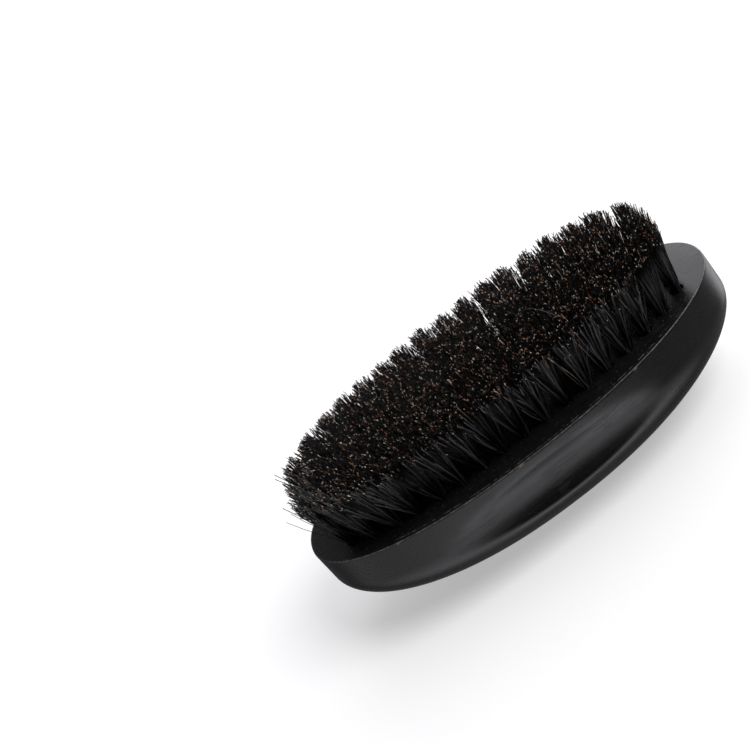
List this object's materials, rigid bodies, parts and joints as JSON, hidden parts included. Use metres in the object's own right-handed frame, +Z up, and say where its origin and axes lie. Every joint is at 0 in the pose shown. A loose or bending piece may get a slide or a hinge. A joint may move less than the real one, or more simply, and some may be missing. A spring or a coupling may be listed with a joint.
{
  "type": "beard brush",
  "caption": "Oval palm beard brush: black wooden block with a flat face, a convex back and a finger groove in each long side, set with rows of dark boar bristle.",
  "frame": {"origin": "middle of the small flat under the block's convex back", "axes": "+X along the length, +Y across the width, +Z up from the back towards the bristle tips"},
  "size_m": [0.125, 0.0598, 0.047],
  "materials": {
    "black_wood": "black stain under a thin satin lacquer, fine open grain",
    "boar_bristle": "natural boar hair, near black with brown split tips"
  },
  "bodies": {
    "root": {"wood_block": "black_wood", "tuft_row_01": "boar_bristle", "tuft_row_02": "boar_bristle", "tuft_row_03": "boar_bristle", "tuft_row_04": "boar_bristle", "tuft_row_05": "boar_bristle", "tuft_row_06": "boar_bristle", "tuft_row_07": "boar_bristle", "tuft_row_08": "boar_bristle", "tuft_row_09": "boar_bristle", "tuft_row_10": "boar_bristle", "tuft_row_11": "boar_bristle", "tuft_row_12": "boar_bristle", "tuft_row_13": "boar_bristle", "tuft_row_14": "boar_bristle", "tuft_row_15": "boar_bristle", "tuft_row_16": "boar_bristle", "tuft_row_17": "boar_bristle"}
  },
  "joints": []
}
